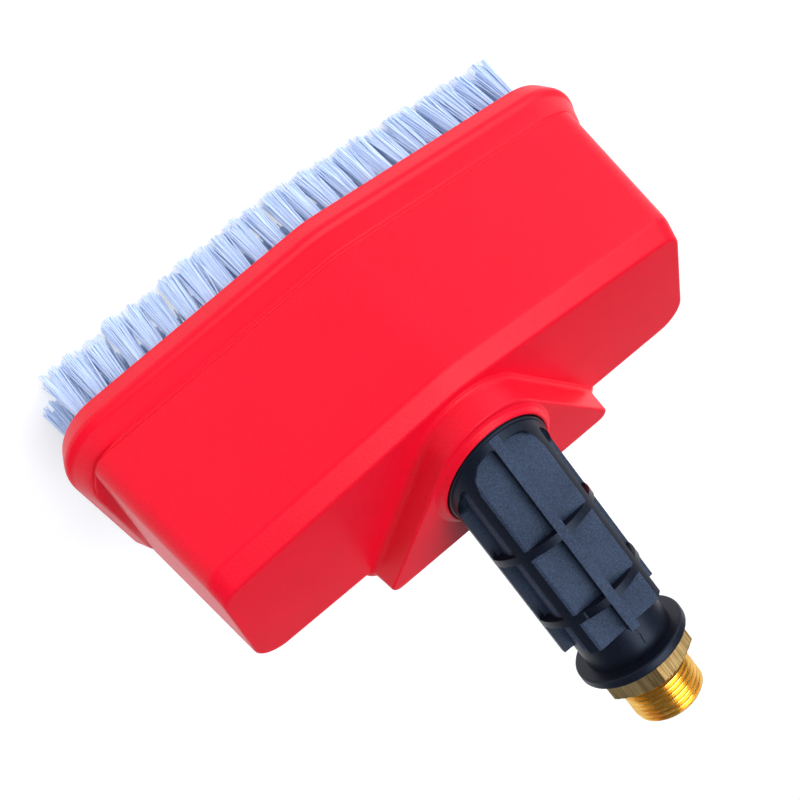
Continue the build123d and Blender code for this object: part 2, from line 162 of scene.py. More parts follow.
def lathe(name, profile, origin, axis, materials):
    """Turned piece: profile is a closed list of (radius, height) about the axis at origin."""
    side = Vector((1, 0, 0))
    front = axis.cross(side)
    points = []
    for radius, height in profile:
        for i in range(round_segments):
            a = 2 * math.pi * i / round_segments
            points.append(origin + axis * height + (side * math.cos(a) + front * math.sin(a)) * radius)
    return piece(name, points, ring_faces(len(profile), round_segments), materials)


def soft_profile(corners, trim, steps=4):
    """Closed (radius, height) profile with its corners rounded."""
    ring = [Vector((r, h, 0)) for r, h in corners]
    middle = (ring[-1] + ring[0]) / 2
    points = rounded([middle, *ring, middle], [trim] * len(ring), steps)[1:-1]
    return [(p.x, p.y) for p in points]


# ------------------------------------------------------------------ materials
def shader(name, roughness, colour=(0.8, 0.8, 0.8), metallic=0.0, specular=0.5, tint=(1, 1, 1)):
    """A new node material: the material, its tree and its main shader."""
    material = bpy.data.materials.new(name)
    material.use_nodes = True
    main = material.node_tree.nodes["Principled BSDF"]
    main.inputs["Base Color"].default_value = (*colour, 1)
    main.inputs["Roughness"].default_value = roughness
    main.inputs["Metallic"].default_value = metallic
    main.inputs["Specular IOR Level"].default_value = specular
    main.inputs["Specular Tint"].default_value = (*tint, 1)
    return material, material.node_tree, main


def add(tree, kind, **settings):
    """A new node with its settings, and sockets by name where a setting names one."""
    node = tree.nodes.new(kind)
    for key, value in settings.items():
        if key in node.inputs:
            node.inputs[key].default_value = value
        else:
            setattr(node, key, value)
    return node


def places(tree, stretch=(1, 1, 1), turn=0.0):
    """Object coordinates in metres, turned about X and then pulled out along each axis."""
    source = add(tree, "ShaderNodeTexCoord")
    mapping = add(tree, "ShaderNodeMapping", vector_type="TEXTURE")
    mapping.inputs["Scale"].default_value = stretch
    mapping.inputs["Rotation"].default_value = (turn, 0, 0)
    tree.links.new(source.outputs["Object"], mapping.inputs["Vector"])
    return mapping.outputs["Vector"]


def noise(tree, vector, scale, detail=2.0, roughness=0.5):
    """Noise from 0 to 1 at places in metres."""
    node = add(tree, "ShaderNodeTexNoise", Scale=scale, Detail=detail, Roughness=roughness)
    tree.links.new(vector, node.inputs["Vector"])
    return node.outputs["Fac"]


def ramp(tree, factor, *stops):
    """Colour ramp through (place, colour) stops."""
    node = add(tree, "ShaderNodeValToRGB")
    elements = node.color_ramp.elements
    while len(elements) < len(stops):
        elements.new(0.5)
    for element, (place, colour) in zip(elements, stops):
        element.position = place
        element.color = (*colour, 1)
    tree.links.new(factor, node.inputs["Fac"])
    return node.outputs["Color"]


def bump(tree, height, main, strength, distance):
    """Fine relief, its distance in metres."""
    node = add(tree, "ShaderNodeBump", Strength=strength, Distance=distance)
    tree.links.new(height, node.inputs["Height"])
    tree.links.new(node.outputs["Normal"], main.inputs["Normal"])


def spread(tree, factor, low, high):
    """A factor from 0 to 1 spread between two values."""
    node = add(tree, "ShaderNodeMapRange")
    node.inputs["To Min"].default_value = low
    node.inputs["To Max"].default_value = high
    tree.links.new(factor, node.inputs["Value"])
    return node.outputs["Result"]


def with_share(tree, fine, broad, share):
    """A fine factor with a share of a broad one added to it."""
    total = add(tree, "ShaderNodeMath", operation="ADD")
    part = add(tree, "ShaderNodeMath", operation="MULTIPLY")
    part.inputs[1].default_value = share
    tree.links.new(broad, part.inputs[0])
    tree.links.new(fine, total.inputs[0])
    tree.links.new(part.outputs[0], total.inputs[1])
    return total.outputs[0]


mottle_scale, mottle_share = 60.0, 0.35
uneven_gloss = 0.07
grain_strength = 0.5


def moulded(name, dark, light, roughness, grain, depth, specular=0.4, tint=(1, 1, 1)):
    """Moulded plastic: fine spark grain, faint mottling and uneven gloss."""
    material, tree, main = shader(name, roughness, specular=specular, tint=tint)
    at = places(tree)
    fine = noise(tree, at, grain, 3.0, 0.6)
    mixed = with_share(tree, fine, noise(tree, at, mottle_scale), mottle_share)
    tree.links.new(ramp(tree, mixed, (0.35, dark), (0.95, light)), main.inputs["Base Color"])
    gloss = spread(tree, fine, roughness - uneven_gloss, roughness + uneven_gloss)
    tree.links.new(gloss, main.inputs["Roughness"])
    bump(tree, fine, main, grain_strength, depth)
    return material


blue_sheen = (0.55, 0.70, 1.0)
red = moulded("red_grained_plastic", (0.70, 0.002, 0.014), (0.88, 0.005, 0.027),
              roughness=0.37, grain=2200.0, depth=0.00014, specular=0.15)
pad_black = moulded("black_grained_plastic", (0.004, 0.006, 0.012), (0.056, 0.080, 0.135),
                    roughness=0.60, grain=2500.0, depth=0.00014, specular=0.20, tint=blue_sheen)
rib_black = moulded("black_smooth_plastic", (0.002, 0.003, 0.006), (0.007, 0.009, 0.017),
                    roughness=0.40, grain=1400.0, depth=0.00001, specular=0.24, tint=blue_sheen)
block_pale = moulded("pale_block_plastic", (0.60, 0.60, 0.58), (0.74, 0.74, 0.72),
                     roughness=0.5, grain=1800.0, depth=0.00003)
rubber = moulded("black_rubber", (0.010, 0.010, 0.011), (0.025, 0.025, 0.027),
                 roughness=0.75, grain=1600.0, depth=0.00003, specular=0.3)

stain_scale, stain_share = 160.0, 0.4
tool_mark_strength = 0.6
gloss_below, gloss_above = 0.08, 0.12        # spread of the machined metal's roughness


def turned_metal(name, dark, light, roughness, stretch, scale, depth):
    """Machined metal with tool lines across the grip axis or along it."""
    material, tree, main = shader(name, roughness, metallic=1.0)
    at = places(tree, stretch, -math.atan2(grip_axis.y, grip_axis.z))
    lines = noise(tree, at, scale, 4.0, 0.65)
    both = with_share(tree, lines, noise(tree, places(tree), stain_scale, 3.0), stain_share)
    tree.links.new(ramp(tree, both, (0.45, dark), (0.95, light)), main.inputs["Base Color"])
    gloss = spread(tree, lines, roughness - gloss_below, roughness + gloss_above)
    tree.links.new(gloss, main.inputs["Roughness"])
    bump(tree, lines, main, tool_mark_strength, depth)
    return material


hex_brass = turned_metal("brass_milled", (0.30, 0.15, 0.040), (0.98, 0.68, 0.28),
                         roughness=0.36, stretch=(1, 1, 30), scale=1900.0, depth=0.00005)
thread_brass = turned_metal("brass_turned", (0.58, 0.30, 0.045), (0.96, 0.62, 0.17),
                            roughness=0.24, stretch=(12, 12, 1), scale=700.0, depth=0.000005)
steel = turned_metal("stainless_steel", (0.35, 0.35, 0.36), (0.62, 0.62, 0.63),
                     roughness=0.3, stretch=(1, 1, 5), scale=900.0, depth=0.00002)


def filament_material(name, dark, middle, light):
    """Nylon filament, with fine streaks along it."""
    material, tree, main = shader(name, 0.42, specular=0.35)
    at = places(tree, (1, 1, 16))
    fine = noise(tree, at, 2200.0, 2.0)
    streaks = ramp(tree, fine, (0.25, dark), (0.55, middle), (0.8, light))
    tree.links.new(streaks, main.inputs["Base Color"])
    bump(tree, fine, main, 0.3, 0.00004)
    return material


nylon = filament_material("pale_nylon", (0.52, 0.64, 0.93), (0.62, 0.75, 0.98), (0.73, 0.84, 1.0))

# ------------------------------------------------------------------ hood, as lofted outlines
roof_depth = 55.0
roof_splay = 0.12
bevel = 4.6
bevel_splay = 0.106
mouth_depth = 68.8
mouth_splay = 0.091
hood_height = 64.2
end_half_length = 85.2
end_flare = 0.175
end_draft = 0.19
rear_draft = 0.08
wall = 2.8
rim_wall = 3.0
rim_start = 48.5
rim_shoulder = 51.5
rim_crest = 58.0
rim_flare = 0.09
rim_inner_proud = 0.7                        # of the inside of the rim, in front of the wall's line
crest_proud = 2.1
ledge_top = 49.0
ledge_width = 3.4
wall_radii = (45.0, 7.0, 8.0)
rim_radii = (45.0, 20.0, 14.0)
least_radius = 0.6
crown_ring = 3.0                             # between the edge of a flat top and the face that closes it
corner_steps = 14
straight_steps = 12


def polygon(depth, nose, splay, half_length, flare, rear, radii, inset=0.0):
    """Points of a five-sided outline with a shallow V front, at a depth below the roof."""
    corner_x = (half_length - flare * nose) / (1 - flare * splay)
    corner_y = rear_y - nose + splay * corner_x
    back_x = half_length + flare * rear
    back_y = rear_y + rear
    corners = [(0, rear_y - nose), (corner_x, corner_y), (back_x, back_y),
               (-back_x, back_y), (-corner_x, corner_y)]
    corners = [Vector(c) for c in corners]
    if inset:
        corners = moved_in(corners, inset)
    nose_r, front_r, rear_r = radii
    shown = [max(r - inset, least_radius) for r in (nose_r, front_r, rear_r, rear_r, front_r)]
    return [Vector((p.x, p.y, roof_z - depth)) for p in filleted(corners, shown)]


def moved_in(corners, inset):
    """Corners of the polygon whose sides have moved inwards; the corners run anticlockwise."""
    count = len(corners)
    lines = []
    for i in range(count):
        a, b = corners[i], corners[(i + 1) % count]
        along = (b - a).normalized()
        inward = Vector((-along.y, along.x))
        lines.append((a + inward * inset, along))
    result = []
    for i in range(count):
        (p, d), (q, e) = lines[i - 1], lines[i]
        t = ((q.x - p.x) * e.y - (q.y - p.y) * e.x) / (d.x * e.y - d.y * e.x)
        result.append(p + d * t)
    return result


def filleted(corners, radii):
    """Outline with each corner rounded, always with the same number of points."""
    count = len(corners)
    arcs = []
    for i in range(count):
        corner = corners[i]
        back = (corners[i - 1] - corner).normalized()
        ahead = (corners[(i + 1) % count] - corner).normalized()
        half = back.angle(ahead) / 2
        reach = radii[i] / math.tan(half)
        centre = corner + (back + ahead).normalized() * (radii[i] / math.sin(half))
        start, end = corner + back * reach - centre, corner + ahead * reach - centre
        turn = math.pi - 2 * half
        arc = []
        for j in range(corner_steps + 1):
            t = j / corner_steps
            spoke = start * math.sin((1 - t) * turn) + end * math.sin(t * turn)
            arc.append(centre + spoke / math.sin(turn))
        arcs.append(arc)
    points = []
    for i in range(count):
        points += arcs[i]
        a, b = arcs[i][-1], arcs[(i + 1) % count][0]
        points += [a.lerp(b, j / straight_steps) for j in range(1, straight_steps)]
    return points


def front_depth(depth):
    """How far the nose of the wall lies in front of the roof's rear edge, at a depth below the roof."""
    return roof_depth + bevel + (depth - bevel) * (mouth_depth - roof_depth - bevel) / (hood_height - bevel)


def front_splay(depth):
    """How fast the wall's front falls back from its nose, at a depth below the roof."""
    return bevel_splay + (mouth_splay - bevel_splay) * (depth - bevel) / (hood_height - bevel)


def wall_outline(depth, inset=0.0):
    """Outline of the wall between the bevel and the rim."""
    half_length, rear = end_half_length + end_draft * depth, rear_draft * depth
    return polygon(depth, front_depth(depth), front_splay(depth), half_length, end_flare, rear, wall_radii,
                   inset)


def roof_outline(inset=0.0):
    """Outline of the roof's edge."""
    return polygon(inset, roof_depth, roof_splay, end_half_length, end_flare, 0, wall_radii, inset)


def rim_outline(depth, proud, half_length, rear, inset=0.0):
    """Outline of the rim, its front proud of the wall's line."""
    nose = front_depth(depth) + proud
    return polygon(depth, nose, front_splay(depth), half_length, rim_flare, rear, rim_radii, inset)


rim_end_shoulder, rim_end_crest = 95.2, 97.8
rim_rear_shoulder, rim_rear_crest = 5.6, 7.6
line_width, line_depth = 0.22, 0.30          # the two fine lines along the step of the rim
step_line, step_line_half = 1.3, 0.3         # the lower line, below the rim's start
step_ends_in, step_rear_in = 2.4, 2.2        # from the rim's shoulder in to its start


def step_outline(below, inset=0.0):
    """Outline of the sloped step between the rim's start and its shoulder."""
    proud = (below - 0.4) / 6
    return rim_outline(rim_start + below, proud, rim_end_shoulder - step_ends_in + below,
                       rim_rear_shoulder - step_rear_in + below, inset)


def crest_outline(depth, proud, ends_in, rear_in, inset=0.0):
    """Outline of the rim near its crest, drawn in from the crest's ends and rear."""
    return rim_outline(depth, proud, rim_end_crest - ends_in, rim_rear_crest - rear_in, inset)


def lofted(name, levels, steps):
    """Red moulding through (outline, rounding) levels, closed at both ends."""
    outlines = [outline for outline, _ in levels]
    trims = [trim for _, trim in levels[1:-1]]
    columns = [rounded([outline[i] for outline in outlines], trims, steps) for i in range(len(outlines[0]))]
    rows, count = len(columns[0]), len(columns)
    points = [columns[c][r] for r in range(rows) for c in range(count)]
    return piece(name, points, capped_faces(rows, count), [red])


def hood_shell():
    """Hollow hood: the outside from the roof down to the lip, then the inside back up to the cavity."""
    levels = [
        (roof_outline(crown_ring), 0),
        (roof_outline(), 0.9),
        (wall_outline(bevel), 1.0),
        (wall_outline(rim_start - line_width), 0),
        (wall_outline(rim_start, line_depth), 0),
        (wall_outline(rim_start + line_width), 0),
        (step_outline(step_line - step_line_half), 0),
        (step_outline(step_line, line_depth), 0),
        (step_outline(step_line + step_line_half), 0),
        (rim_outline(rim_shoulder, 0.5, rim_end_shoulder, rim_rear_shoulder), 0.8),
        (crest_outline(rim_crest - 2.4, 0.9, 0.7, 0.6), 0.5),
        (crest_outline(rim_crest - 1.2, crest_proud, 0.1, 0), 0.35),
        (crest_outline(rim_crest, crest_proud, 0, 0), 0.8),
        (crest_outline(hood_height - 1.0, -0.1, 0.9, 0.6), 0.8),
        (crest_outline(hood_height, -0.4, 1.3, 1.0), 0.4),
        (crest_outline(hood_height, 0, 0.5, 0, rim_wall), 0.9),
        (rim_outline(rim_shoulder, rim_inner_proud, rim_end_shoulder, rim_rear_shoulder, rim_wall), 0.4),
        (wall_outline(rim_shoulder, wall + ledge_width), 0.4),
        (wall_outline(ledge_top, wall + ledge_width), 0.4),
        (wall_outline(ledge_top, wall), 0.4),
        (wall_outline(bevel + wall / 2, wall), 0.8),
        (roof_outline(wall), 0.4),
        (roof_outline(wall + crown_ring), 0),
    ]
    # the two roof levels are flat, so their inner rings lie at the height of their edge
    for level, depth in ((0, 0.0), (-1, wall)):
        for point in levels[level][0]:
            point.z = roof_z - depth
    shell = lofted("hood_moulding", levels, 5)
    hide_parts("hood_shell")


hood_shell()

# ------------------------------------------------------------------ boss, its lip and the pad behind it
boss_height = 8.4
boss_overhang = 4.0
boss_half_width = 45.6
boss_vertex = 63.9
boss_nose_radius = 17.3
boss_tip_radius = 3.0
collar_half_width, collar_half_length = 17.4, 21.8
socket_clearance = 0.25
foot_reach = 1.2                             # behind the boss's overhang
pad_root = 3.0                               # of the rear pad, inside the hood
pad_top = 0.5                                # of the rear pad, above the roof
pad_rounding = 1.5


def boss_outline(grow, z):
    """Winged outline of the boss, grown outwards, from its nose round anticlockwise."""
    tip = Vector((boss_half_width, rear_y + boss_overhang))
    corners = [Vector((0, rear_y - boss_vertex)), tip, Vector((-tip.x, tip.y))]
    if grow:
        corners = moved_in(corners, -grow)
    radii = (boss_nose_radius + grow, boss_tip_radius + grow, boss_tip_radius + grow)
    return [Vector((p.x, p.y, z)) for p in filleted(corners, radii)]


def boss():
    """The raised boss, with a soft concave foot on the roof and a rounded crest."""
    top = roof_z + boss_height
    levels = [
        (boss_outline(3.4, roof_z - 0.8), 0),
        (boss_outline(2.6, roof_z + 0.02), 0.5),
        (boss_outline(1.2, roof_z + 0.8), 1.8),
        (boss_outline(0.0, top), 0.7),
        (boss_outline(-crown_ring, top), 0),
    ]
    # behind the rear edge of the roof the foot has nothing to blend onto, so it stays under the boss
    for outline, _ in levels[:3]:
        for point in outline:
            point.y = min(point.y, rear_y + boss_overhang + foot_reach)
    lofted("hood_boss", levels, 7)


def oval_ring(name, profile, materials):
    """Piece with a closed profile of (growth, height above the roof) swept round the collar's oval."""
    points = []
    for grow, height in profile:
        for i in range(round_segments):
            a = 2 * math.pi * i / round_segments
            x = (collar_half_width + grow) * math.cos(a)
            y = (collar_half_length + grow) * math.sin(a)
            points.append(Vector((x, collar_y + y, roof_z + height)))
    return piece(name, points, ring_faces(len(profile), round_segments), materials)


def rear_pad():
    """Flat pad that carries the boss's overhang down the rear wall."""
    half = boss_half_width - boss_tip_radius
    low, high = roof_z - rim_shoulder, roof_z + pad_top
    front, back = rear_y - pad_root, rear_y + boss_overhang + foot_reach
    corners = [(-half, front), (half, front), (half, back), (-half, back)]
    work = bmesh.new()
    lower = [work.verts.new(Vector((x, y, low)) * MM) for x, y in corners]
    upper = [work.verts.new(Vector((x, y, high)) * MM) for x, y in corners]
    work.faces.new(lower)
    work.faces.new(upper)
    for i in range(4):
        j = (i + 1) % 4
        work.faces.new((lower[i], lower[j], upper[j], upper[i]))
    bmesh.ops.recalc_face_normals(work, faces=work.faces)
    bmesh.ops.bevel(work, geom=work.edges, offset=pad_rounding * MM, segments=4, profile=0.5, affect="EDGES")
    points = [v.co / MM for v in work.verts]
    work.verts.index_update()
    faces = [tuple(v.index for v in f.verts) for f in work.faces]
    work.free()
    piece("hood_rear_pad", points, faces, [red])


boss()
rear_pad()
# the lip's growth from the collar and height above the roof
lip_corners = [(socket_clearance, 4.0), (socket_clearance, 10.0), (0.8, 10.3), (1.3, 10.1), (2.1, 8.9),
               (3.4, 8.3), (3.4, 4.0)]
oval_ring("hood_lip", soft_profile(lip_corners, 0.35), [red])

# ------------------------------------------------------------------ grip, as heights over the turn and length
grip_radius = 16.8
grip_end = 50.6
pad_radius = 13.5
rib_half = 1.4
neck_radius = 13.4
flange_radius = 17.25
hoops = [(17.25, 19.55), (38.85, 41.15)]
pad_start = 1.9                              # above the collar
front_corner, other_corner = 5.0, 1.2        # rounding of the pads' upper corners
parting_angle = math.radians(-1.6)           # mould parting line on the front rib
rib_count = 8
rib_sector = math.radians(360 / rib_count)
parting_half, parting_depth = 0.16, 0.14
knurl_range, knurl_pitch = (5.6, 29.0), 1.85   # degrees, fine notches on the lower hoop
knurl_depth, knurl_share = 0.3, 0.45           # the share of the pitch that is cut
rib_slope = 0.30                               # width of the slope from a rib or hoop to its pad
pad_share = 0.85                               # of the recess, from where on it has the pads' grain
neck_slope = 0.3
side_pad_drop, least_pad_depth = 0.3, 1.6
grip_foot = -14.0                              # the skin's lowest, before it is raised into the collar
collar_cover = 9.0                             # above the roof, inside the collar


def ease(value, low, high):
    """0 below low, 1 above high and smooth between."""
    t = min(max((value - low) / (high - low), 0), 1)
    return t * t * (3 - 2 * t)


def grip_point(angle, height, radius):
    """Point at an angle from the front, a height along the grip axis and a radius."""
    out = grip_front * math.cos(angle) + grip_side * math.sin(angle)
    return grip_origin + grip_axis * height + out * radius


def recess(angle, height):
    """How much of the recess between the ribs is open here, from 0 on a rib or hoop to 1 in a pocket."""
    off = (angle + rib_sector / 2) % rib_sector - rib_sector / 2
    from_rib = abs(grip_radius * math.sin(off)) - rib_half
    from_top = grip_axis.z * height + grip_axis.y * grip_radius * math.cos(angle) - pad_start
    turn = abs((angle + math.pi) % (2 * math.pi) - math.pi)
    corner = front_corner if rib_sector / 2 < turn < rib_sector else other_corner
    inside = min(from_rib, from_top)
    if inside < corner and max(from_rib, from_top) < corner:
        inside = corner - math.hypot(corner - from_rib, corner - from_top)
    for low, high in hoops:
        inside = min(inside, max(low - height, height - high))
    return ease(inside, 0, rib_slope)


def floor_radius(angle):
    """Radius of the recess floor: flat pads beside the front and rear ribs, round between the side ribs."""
    turn = abs((angle + math.pi / 2) % math.pi - math.pi / 2)
    if turn < rib_sector:
        return min(pad_radius / math.cos(turn), grip_radius)
    side = math.pi / 2 - turn
    return min((pad_radius - side_pad_drop) / math.cos(side), grip_radius - least_pad_depth)


def grip_surface(angle, height):
    """Radius of the skin, with the pads, the parting line, the notches and the step to the neck."""
    share = recess(angle, height)
    radius = grip_radius + (floor_radius(angle) - grip_radius) * share
    off = (angle - parting_angle + math.pi) % (2 * math.pi) - math.pi
    if abs(off) * grip_radius < parting_half and share < 0.5:
        radius -= parting_depth
    degrees = math.degrees(angle)
    if hoops[1][0] < height < hoops[1][1] and knurl_range[0] < degrees < knurl_range[1]:
        radius -= knurl_depth * (((degrees - knurl_range[0]) / knurl_pitch) % 1 < knurl_share)
    return radius + (neck_radius - radius) * ease(height, grip_end, grip_end + neck_slope)


def steps_between(marks, fine, coarse):
    """Increasing values that are fine near each mark and coarse between."""
    fine_reach = 0.5
    marks = sorted(marks)
    values = []
    for a, b in zip(marks, marks[1:]):
        near = min(fine_reach, (b - a) / 3)
        values += [a + fine * i for i in range(int(near / fine) + 1)]
        count = max(int((b - a - 2 * near) / coarse), 1)
        values += [a + near + (b - a - 2 * near) * i / count for i in range(1, count)]
        values += [b - near + fine * i for i in range(int(near / fine) + 1)]
    unique = []
    for value in sorted(values + [marks[-1]]):
        if not unique or value - unique[-1] > fine / 2:
            unique.append(value)
    return unique


def grip_body():
    """Ribs, hoops, pads and neck as one skin, closed at both ends."""
    edge = math.degrees(math.asin(rib_half / grip_radius))
    angle_marks = [k * 360 / rib_count + s * edge for k in range(rib_count) for s in (-1, 1)] + [360 - edge]
    parting = math.degrees(parting_angle)
    wanted = steps_between(angle_marks, fine=0.28, coarse=1.1)[:-1]
    wanted += [parting % 360 + d for d in (-0.7, -0.45, 0, 0.45, 0.7)]
    low, high = knurl_range
    knurl_step, least_step = 0.3, 0.13
    wanted += [low + knurl_step * i for i in range(int((high - low) / knurl_step))]
    angles = []
    for a in sorted(wanted):
        if not angles or a - angles[-1] > least_step:
            angles.append(a)
    angles = [math.radians(a) for a in angles]
    height_marks = [2.0, grip_end, grip_end + 0.4, flange_bottom + 0.5]
    height_marks += [h for hoop in hoops for h in hoop]
    foot_step, foot_rows = 0.24, 66
    heights = [grip_foot + foot_step * i for i in range(foot_rows)]
    heights += steps_between(height_marks, fine=0.09, coarse=0.75)
    points = []
    for h in heights:
        points += [grip_point(a, h, grip_surface(a, h)) for a in angles]
    count = len(angles)
    faces = capped_faces(len(heights), count)
    indices = []
    for r in range(len(heights) - 1):
        h = (heights[r] + heights[r + 1]) / 2
        for c in range(count):
            a = (angles[c] + (angles[(c + 1) % count] if c + 1 < count else angles[0] + 2 * math.pi)) / 2
            open_pad = recess(a, h) > pad_share
            front_rib = min(a, 2 * math.pi - a) * grip_radius < rib_half
            indices.append(1 if h < grip_end and (open_pad or front_rib) else 0)
    indices += [0, 0]
    # the lowest points would show through the collar's side, so they slide up the axis until it covers them
    floor_z = roof_z + collar_cover
    for p in points:
        if p.z < floor_z:
            p += grip_axis * ((floor_z - p.z) / grip_axis.z)
    return piece("grip_body", points, faces, [rib_black, pad_black], indices, sharp=50.0,
                 clean=False)


body = grip_body()
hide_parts("grip_adapter")
collar_corners = [(0, 5.2), (0, collar_height), (-3.5, collar_height), (-3.5, 5.2)]
oval_ring("grip_collar", soft_profile(collar_corners, 0.9, 5), [rib_black])


def flash():
    """Ragged line of moulding flash that runs on from the parting line over the neck."""
    draw = random.Random(7)
    points, faces = [], []
    steps, start, length, half_turn, foot = 14, grip_end + 0.2, 6.4, 0.018, neck_radius - 0.1
    wander, least_rise, most_rise = 0.012, 0.05, 0.32
    for i in range(steps + 1):
        h = start + length * i / steps
        a = parting_angle + draw.gauss(0, wander)
        rise = draw.uniform(least_rise, most_rise)
        points += [grip_point(a - half_turn, h, foot), grip_point(a, h, neck_radius + rise),
                   grip_point(a + half_turn, h, foot)]
    for i in range(steps):
        low, high = 3 * i, 3 * i + 3
        faces += [(low, low + 1, high + 1, high), (low + 1, low + 2, high + 2, high + 1),
                  (low + 2, low, high, high + 2)]
    faces += [(0, 1, 2), (3 * steps + 2, 3 * steps + 1, 3 * steps)]
    piece("mould_flash", points, faces, [rib_black], normals=False)


flash()
flange_bore = 8.0
flange_corners = [(flange_bore, flange_bottom), (flange_radius, flange_bottom), (flange_radius, flange_top),
                  (flange_bore, flange_top)]
lathe("grip_flange", soft_profile(flange_corners, 0.7), grip_origin, grip_axis, [rib_black])

# ------------------------------------------------------------------ brass fitting
hex_across_flats = 27.0
hex_turn = math.radians(7.3)
top_face, top_slope = 1.02, 1.7              # the hexagon's top chamfer: share of half the flats, and slope
foot_face, foot_slope = 1.10, 2.2            # the same at its foot
pitch = 1.5
thread_depth = 0.92
thread_lead = 0.6                            # height over which the first turn rises
relief_depth = 1.2
root_share, flank_share = 0.12, 0.74         # of half a pitch: the flat root, and the slope up to the crest
thread_end_slope = 1.15
water_radius = 4.0
mouth_chamfer = 0.5


def thread_surface(angle, height):
    """Radius of the fitting's outside above the flange, with the hexagon, the relief and the thread."""
    if height <= hex_top:
        sector = math.radians(60)
        off = (angle - hex_turn) % sector - sector / 2
        flat = hex_across_flats / 2 / math.cos(off)
        cone = hex_across_flats / 2 * top_face + (hex_top - height) * top_slope
        foot = hex_across_flats / 2 * foot_face + (height - flange_top) * foot_slope
        return min(flat, cone, foot)
    if height < thread_start:
        return thread_radius - relief_depth
    turn = (height - thread_start) / pitch - angle / (2 * math.pi)
    wave = abs((turn % 1.0) - 0.5) * 2
    crest = min(max((wave - root_share) / flank_share, 0), 1)
    lead = ease(height, thread_start, thread_start + thread_lead)
    cone = thread_radius - max(height - (thread_end - thread_chamfer), 0) * thread_end_slope
    return min(thread_radius - thread_depth * (1 - crest) * lead - relief_depth * (1 - lead), cone)


def fitting():
    """Hexagon, relief, thread and bore as one skin; the rows of the thread climb with its helix."""
    count, rows_per_turn = 144, 16
    angles = [2 * math.pi * i / count for i in range(count)]
    # rows close together over the hexagon's two chamfers, and foot and top just clear of their neighbours
    row, foot, above = 0.4, flange_top + 0.02, hex_top + 0.01
    heights = [foot, flange_top + row, flange_top + 2 * row]
    heights += [flange_top + 2 * row + (hex_height - 6 * row) * i / 4 for i in range(1, 5)]
    heights += [hex_top - 3 * row, hex_top - 2 * row, hex_top - row, hex_top, above, thread_start]
    points = [grip_point(a, h, thread_surface(a, h)) for h in heights for a in angles]
    rows = len(heights)
    milled_rows = heights.index(hex_top)
    turns = (thread_end - thread_start) / pitch
    first, last = 1 - rows_per_turn, math.ceil(turns * rows_per_turn)
    for k in range(first, last + 1):
        for a in angles:
            climbed = thread_start + pitch * (k / rows_per_turn + a / (2 * math.pi))
            h = min(max(climbed, thread_start), thread_end)
            points.append(grip_point(a, h, thread_surface(a, h)))
    thread_rows = last - first + 1
    base = rows * count
    # mouth of the bore, then the bore down to its seat and the narrow water way below
    seat = thread_end - bore_depth
    bore = [(thread_end, bore_radius + mouth_chamfer), (thread_end - mouth_chamfer, bore_radius),
            (seat, bore_radius), (seat, water_radius), (foot, water_radius)]
    points += [grip_point(a, h, radius) for h, radius in bore for a in angles]
    faces, indices = [], []

    def quad(a, b, c, d, slot):
        """Adds a face with its material: 0 milled, 1 turned."""
        faces.append((a, b, c, d))
        indices.append(slot)

    for r in range(rows):
        for c in range(count):
            d = (c + 1) % count
            low, high = r * count, (r + 1) * count
            quad(low + c, low + d, high + d, high + c, 0 if r < milled_rows else 1)
    for k in range(thread_rows - 1):
        for c in range(count):
            low, high = base + k * count + c, base + (k + 1) * count + c
            if c + 1 < count:
                quad(low, low + 1, high + 1, high, 1)
            else:
                # past the seam the helix goes on one turn higher
                ahead = [min(k + rows_per_turn + i, thread_rows - 1) * count + base for i in (0, 1)]
                quad(low, ahead[0], ahead[1], high, 1)
    inner = base + (thread_rows - 1) * count
    rings = [inner] + [base + thread_rows * count + i * count for i in range(len(bore))] + [0]
    for low, high in zip(rings, rings[1:]):
        for c in range(count):
            d = (c + 1) % count
            quad(low + c, low + d, high + d, high + c, 1)
    thing = piece("brass_inlet", points, faces, [hex_brass, thread_brass], indices, sharp=30.0)
    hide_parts("inlet_fitting")


fitting()

# ------------------------------------------------------------------ tufts
row_count = 6
tuft_pitch = 6.5
tufts_per_row = 26
first_row_inset, last_row_inset = 4.6, 4.2
block_clearance = 0.4
strip_width, strip_depth = 4.6, 3.0
block_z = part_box("brush_block")[0].z / MM
front_edge_y = rear_y - front_depth(rim_shoulder) - rim_inner_proud + rim_wall + block_clearance
rear_edge_y = rear_y + rim_rear_shoulder - rim_wall - block_clearance
first_row_y = front_edge_y + first_row_inset
last_row_y = rear_edge_y - last_row_inset
edge_filaments, inner_filaments = 68, 32     # in a tuft that shows, and in one that others hide
filament_radius, filament_taper = 0.25, 0.25
root_radius, root_cover = 1.75, 0.6          # the roots lie this far up inside the strip
tip_spread, end_widening = 1.95, 0.25        # the fan at the tips, and how much wider it is at the ends
across_share = 0.85                          # of the fan, across the row
waist = 0.10                                 # how far the filaments draw in halfway down
heart_radius, heart_widening, heart_tip = 1.5, 1.62, 3.0
heart_lean = 0.9                             # of the tuft's own lean
heart_oval = 0.9                             # its width across the row, of that along the row
end_lean, front_lean = 2.8, 0.5              # outwards, of the tufts at the ends and of the front row
end_power = 5                                # how suddenly the ends' lean and widening set in
end_tufts = 1.5                              # pitches from the end of a row that count as its edge
lean_along, lean_across = 0.5, 0.45          # spread of every tuft's lean
short_size, ragged_size = 0.5, 0.55          # spread of how much shorter a tuft and a filament are
bow_size = 0.22
edge_share = 0.82                            # of the root's radius, beyond which two in three filaments stand
thinnest, thickest = 0.85, 1.15              # of the filament's radius
stray_size, wild_share, wild_size = 0.26, 0.05, 3.5
lowest_tip, tip_dome, highest_tip = 0.1, 0.6, 6.5


def row_y(row, x):
    """Place of a tuft across the brush: rows follow the V of the front and straighten towards the rear."""
    share = row / (row_count - 1)
    return first_row_y + (last_row_y - first_row_y) * share + mouth_splay * (1 - share) * abs(x)


